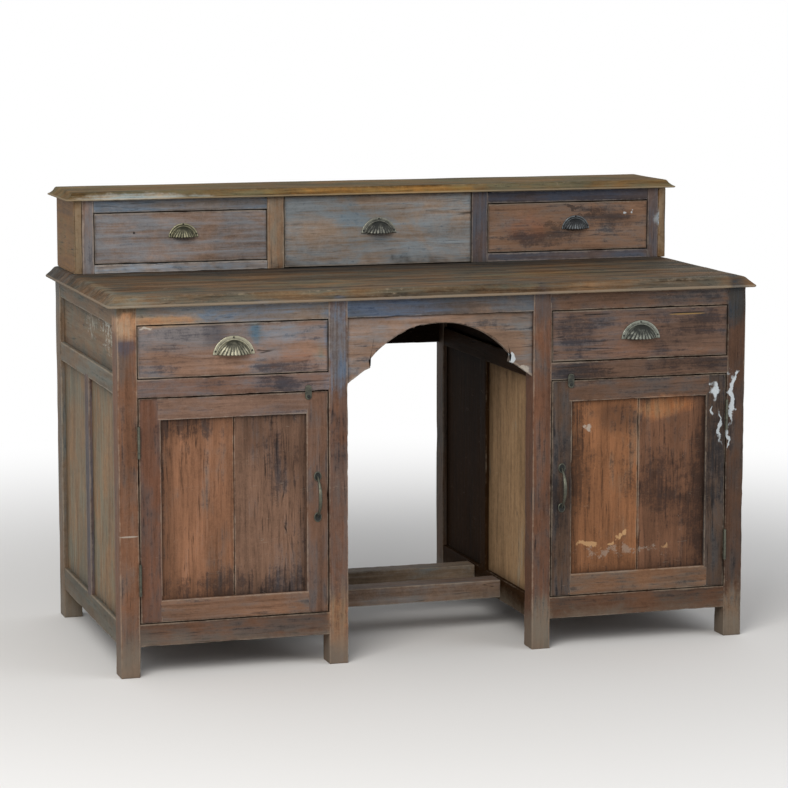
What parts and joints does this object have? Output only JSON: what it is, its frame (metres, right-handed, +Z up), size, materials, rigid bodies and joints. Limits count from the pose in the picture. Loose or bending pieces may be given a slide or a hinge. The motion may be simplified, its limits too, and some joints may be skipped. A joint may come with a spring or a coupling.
{
  "type": "study table",
  "caption": "Twin-pedestal wooden study table with a drawer and a cupboard on each side, an arched kneehole and a low gallery of drawers along the back of its moulded top.",
  "frame": {"origin": "on the floor, at the middle of the whole table's length and depth", "axes": "+X along the front to the right as seen from the front, +Y to the back, +Z up"},
  "size_m": [1.444, 0.691, 0.98],
  "materials": {
    "frame_wood": "old hardwood with dark blue-grey paint worn off its edges",
    "front_wood": "reddish old hardwood, scratched, with smoky dark patches",
    "panel_wood": "olive to orange-brown old boards, dry and streaked",
    "top_wood": "worn olive-brown boards with dark streaks, rubbed pale at the edges",
    "inside_wood": "bare unfinished wood",
    "brass": "aged brass with dark hollows",
    "iron": "dark aged iron, rubbed bright where it is handled"
  },
  "bodies": {
    "carcass": {"front_post_left_outer": "frame_wood", "front_post_left_inner": "frame_wood", "front_post_right_inner": "frame_wood", "front_post_right_outer": "frame_wood", "back_post_left_outer": "frame_wood", "back_post_left_inner": "frame_wood", "back_post_right_inner": "frame_wood", "back_post_right_outer": "frame_wood", "front_rails_left": "frame_wood", "front_rails_right": "frame_wood", "kneehole_rail": "frame_wood", "kneehole_apron": "frame_wood", "kneehole_back_board": "frame_wood", "back_rails": "frame_wood", "outer_wall_rails_left": "frame_wood", "outer_wall_rails_right": "frame_wood", "inner_wall_rails_left": "frame_wood", "inner_wall_rails_right": "frame_wood", "kneehole_stretchers": "frame_wood", "gallery_ends": "frame_wood", "gallery_frame": "frame_wood", "back_panels": "panel_wood", "outer_wall_panels_left": "panel_wood", "outer_wall_panels_right": "panel_wood", "inner_wall_panels_left": "panel_wood", "inner_wall_panels_right": "panel_wood", "cupboard_floors": "inside_wood", "drawer_runners": "inside_wood", "gallery_partitions": "inside_wood", "gallery_back": "inside_wood", "main_top": "top_wood", "gallery_top": "top_wood", "hinge_post_leaves": "iron", "hinge_pins": "iron"},
    "drawer_left": {"drawer_left_front": "front_wood", "drawer_left_box": "inside_wood", "drawer_left_pull": "brass"},
    "drawer_right": {"drawer_right_front": "front_wood", "drawer_right_box": "inside_wood", "drawer_right_pull": "brass"},
    "gallery_drawer_left": {"gallery_drawer_left_front": "front_wood", "gallery_drawer_left_box": "inside_wood", "gallery_drawer_left_pull": "brass"},
    "gallery_drawer_middle": {"gallery_drawer_middle_front": "front_wood", "gallery_drawer_middle_box": "inside_wood", "gallery_drawer_middle_pull": "brass"},
    "gallery_drawer_right": {"gallery_drawer_right_front": "front_wood", "gallery_drawer_right_box": "inside_wood", "gallery_drawer_right_pull": "brass"},
    "door_left": {"door_left_frame": "front_wood", "door_left_panel": "panel_wood", "door_left_pull": "iron", "door_left_hinge_leaves": "iron"},
    "door_left_button": {"door_left_button": "iron"},
    "door_right": {"door_right_frame": "front_wood", "door_right_panel": "panel_wood", "door_right_pull": "iron", "door_right_hinge_leaves": "iron"},
    "door_right_button": {"door_right_button": "iron"}
  },
  "joints": [
    {"name": "drawer_left_slide", "type": "slide", "parent": "carcass", "child": "drawer_left", "axis": [0, -1, 0], "range_m": [0, 0.4]},
    {"name": "drawer_right_slide", "type": "slide", "parent": "carcass", "child": "drawer_right", "axis": [0, -1, 0], "range_m": [0, 0.4]},
    {"name": "gallery_drawer_left_slide", "type": "slide", "parent": "carcass", "child": "gallery_drawer_left", "axis": [0, -1, 0], "range_m": [0, 0.13]},
    {"name": "gallery_drawer_middle_slide", "type": "slide", "parent": "carcass", "child": "gallery_drawer_middle", "axis": [0, -1, 0], "range_m": [0, 0.13]},
    {"name": "gallery_drawer_right_slide", "type": "slide", "parent": "carcass", "child": "gallery_drawer_right", "axis": [0, -1, 0], "range_m": [0, 0.13]},
    {"name": "door_left_swing", "type": "hinge", "parent": "carcass", "child": "door_left", "pos_m": [-0.65725, -0.3237, 0.35], "axis": [0, 0, -1], "range_deg": [0, 120]},
    {"name": "door_left_button_turn", "type": "hinge", "parent": "door_left", "child": "door_left_button", "pos_m": [-0.2935, -0.3198, 0.5775], "axis": [0, 1, 0], "range_deg": [-90, 90]},
    {"name": "door_right_swing", "type": "hinge", "parent": "carcass", "child": "door_right", "pos_m": [0.65725, -0.3237, 0.35], "axis": [0, 0, 1], "range_deg": [0, 120]},
    {"name": "door_right_button_turn", "type": "hinge", "parent": "door_right", "child": "door_right_button", "pos_m": [0.2935, -0.3198, 0.5775], "axis": [0, 1, 0], "range_deg": [-90, 90]}
  ]
}
